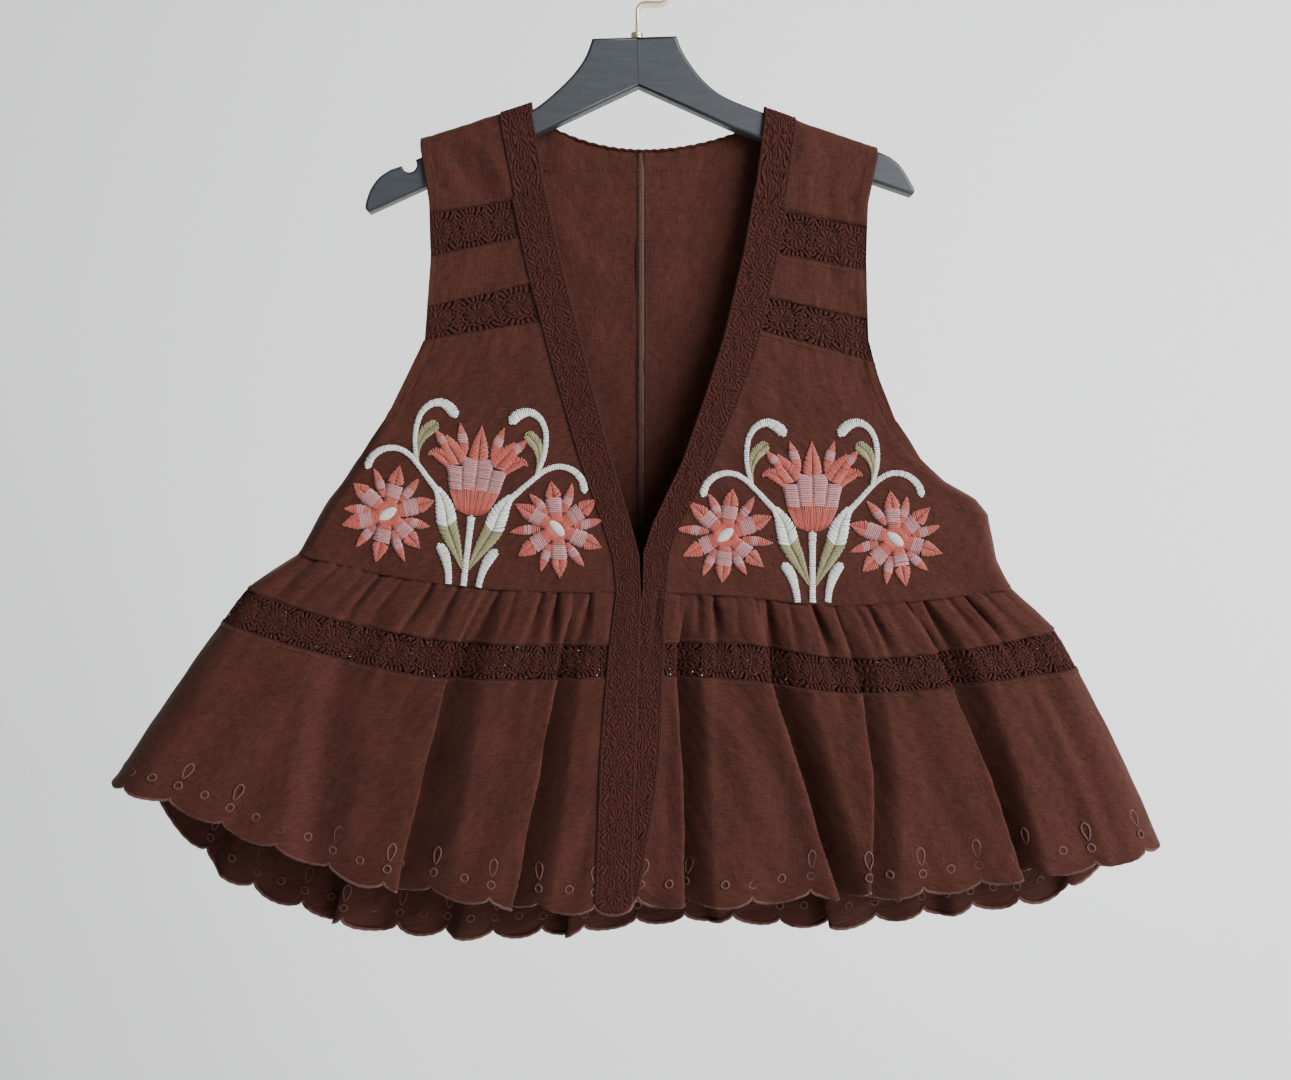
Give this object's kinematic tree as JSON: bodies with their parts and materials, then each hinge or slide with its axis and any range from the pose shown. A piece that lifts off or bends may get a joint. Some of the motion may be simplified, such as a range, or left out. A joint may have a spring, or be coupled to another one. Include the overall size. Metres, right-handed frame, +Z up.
{
  "type": "embroidered sleeveless peplum top on a wooden hanger",
  "caption": "Open-front sleeveless top with lace insertions, embroidered flower sprays and a gathered, scalloped peplum, hung on a flat wooden hanger.",
  "frame": {"origin": "inner top of the hanger hook's bend, where it rests on a rail", "axes": "+Z up, +Y from the front of the top to its back, +X to the right of someone who looks at the front"},
  "size_m": [0.8309, 0.1002, 0.8073],
  "materials": {
    "cotton": "dark brown washed cotton, matt",
    "lace": "dark brown cotton eyelet lace",
    "coral_thread": "coral satin-stitch thread with a soft sheen",
    "white_thread": "off-white satin-stitch thread",
    "olive_thread": "olive satin-stitch thread",
    "board_paint": "charcoal painted wood, satin",
    "brass": "pale polished brass"
  },
  "bodies": {
    "root": {"back_left": "cotton", "back_right": "cotton", "band_back_neck": "lace", "band_left": "lace", "band_right": "lace", "curl_inner_left": "white_thread", "curl_inner_right": "white_thread", "curl_outer_left": "white_thread", "curl_outer_right": "white_thread", "daisy_inner_left": "coral_thread", "daisy_inner_right": "coral_thread", "daisy_outer_left": "coral_thread", "daisy_outer_right": "coral_thread", "foot_inner_left": "white_thread", "foot_inner_right": "white_thread", "foot_outer_left": "white_thread", "foot_outer_right": "white_thread", "front_left": "cotton", "front_right": "cotton", "hanger_board_left": "board_paint", "hanger_board_right": "board_paint", "hanger_ferrule": "brass", "hanger_hook": "brass", "leaf_inner_left": "olive_thread", "leaf_inner_right": "olive_thread", "leaf_outer_left": "olive_thread", "leaf_outer_right": "olive_thread", "peplum_lace_back": "lace", "peplum_lace_front_left": "lace", "peplum_lace_front_right": "lace", "shoulder_left": "cotton", "shoulder_right": "cotton", "skirt_back": "cotton", "skirt_front_left": "cotton", "skirt_front_right": "cotton", "stem_inner_left": "white_thread", "stem_inner_right": "white_thread", "stem_middle_left": "white_thread", "stem_middle_right": "white_thread", "stem_outer_left": "white_thread", "stem_outer_right": "white_thread", "tier_back": "cotton", "tier_front_left": "cotton", "tier_front_right": "cotton", "tulip_left": "coral_thread", "tulip_right": "coral_thread", "yoke_lace_lower_left": "lace", "yoke_lace_lower_right": "lace", "yoke_lace_upper_left": "lace", "yoke_lace_upper_right": "lace", "yoke_strip_left": "cotton", "yoke_strip_right": "cotton"}
  },
  "joints": []
}
